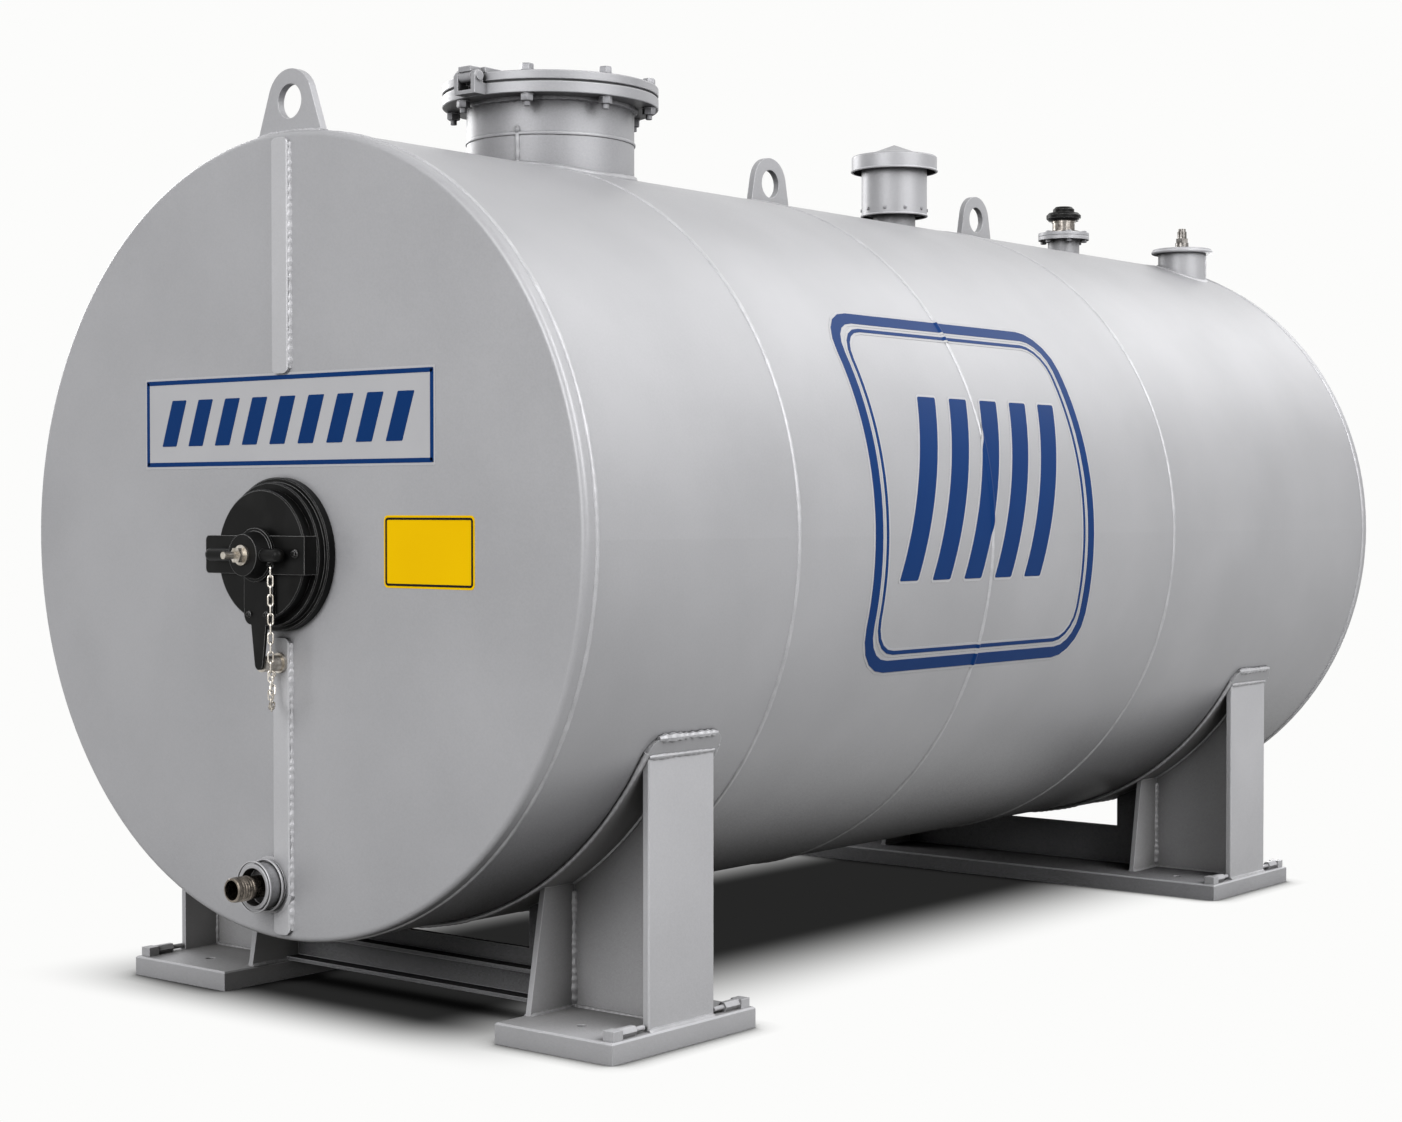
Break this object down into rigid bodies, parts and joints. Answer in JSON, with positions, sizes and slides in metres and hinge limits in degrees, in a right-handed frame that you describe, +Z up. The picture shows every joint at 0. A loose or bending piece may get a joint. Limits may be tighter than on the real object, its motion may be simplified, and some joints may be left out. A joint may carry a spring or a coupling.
{
  "type": "diesel tank",
  "caption": "Horizontal welded cylindrical diesel storage tank on saddle feet, with a hinged bolted manway, vent, valve, gauge, lifting lugs, clamped end hatch and drain.",
  "frame": {"origin": "on the ground, under the middle of the overall box", "axes": "+X across the tank, +Y along it from the hatch end to the plain end, +Z up"},
  "size_m": [1.9998, 4.38, 2.507],
  "materials": {
    "tank_paint": "satin silver-grey paint over welded plate",
    "black_enamel": "semi-gloss black enamel",
    "zinc_steel": "bare zinc-plated steel",
    "gasket_rubber": "black sheet rubber",
    "valve_chrome": "polished plated metal"
  },
  "bodies": {
    "tank": {"front_end": "tank_paint", "rear_end": "tank_paint", "shell_course_1": "tank_paint", "shell_course_2": "tank_paint", "shell_course_3": "tank_paint", "shell_course_4": "tank_paint", "end_bars": "tank_paint", "manway_neck": "tank_paint", "manway_flange": "tank_paint", "manway_gasket": "gasket_rubber", "manway_hinge_bracket": "tank_paint", "lifting_lug_front": "tank_paint", "lifting_lug_middle": "tank_paint", "lifting_lug_rear": "tank_paint", "vent_neck": "tank_paint", "vent_body": "tank_paint", "vent_cap": "tank_paint", "valve_neck": "tank_paint", "valve_flange": "tank_paint", "valve_body": "valve_chrome", "valve_cap": "black_enamel", "gauge_collar": "tank_paint", "gauge_lid": "tank_paint", "gauge_stem": "zinc_steel", "hatch_ring": "black_enamel", "hatch_cap": "black_enamel", "hatch_yoke": "black_enamel", "hatch_hub": "black_enamel", "hatch_screw": "zinc_steel", "hatch_handle": "black_enamel", "hatch_arm": "black_enamel", "hatch_anchor": "zinc_steel", "hatch_chain": "zinc_steel", "drain_socket": "tank_paint", "drain_nipple": "zinc_steel", "saddle_pads": "tank_paint", "saddle_legs": "tank_paint", "saddle_webs": "tank_paint", "saddle_ribs": "tank_paint", "saddle_cross_plates": "tank_paint", "front_feet": "tank_paint", "front_cross_beam": "tank_paint", "rear_base": "tank_paint", "foot_clips": "tank_paint"},
    "cover": {"manway_cover": "tank_paint", "manway_hinge_strap": "tank_paint"}
  },
  "joints": [
    {"name": "manway_cover_hinge", "type": "hinge", "parent": "tank", "child": "cover", "pos_m": [0, -1.346, 2.4513], "axis": [1, 0, 0], "range_deg": [0, 105]}
  ]
}
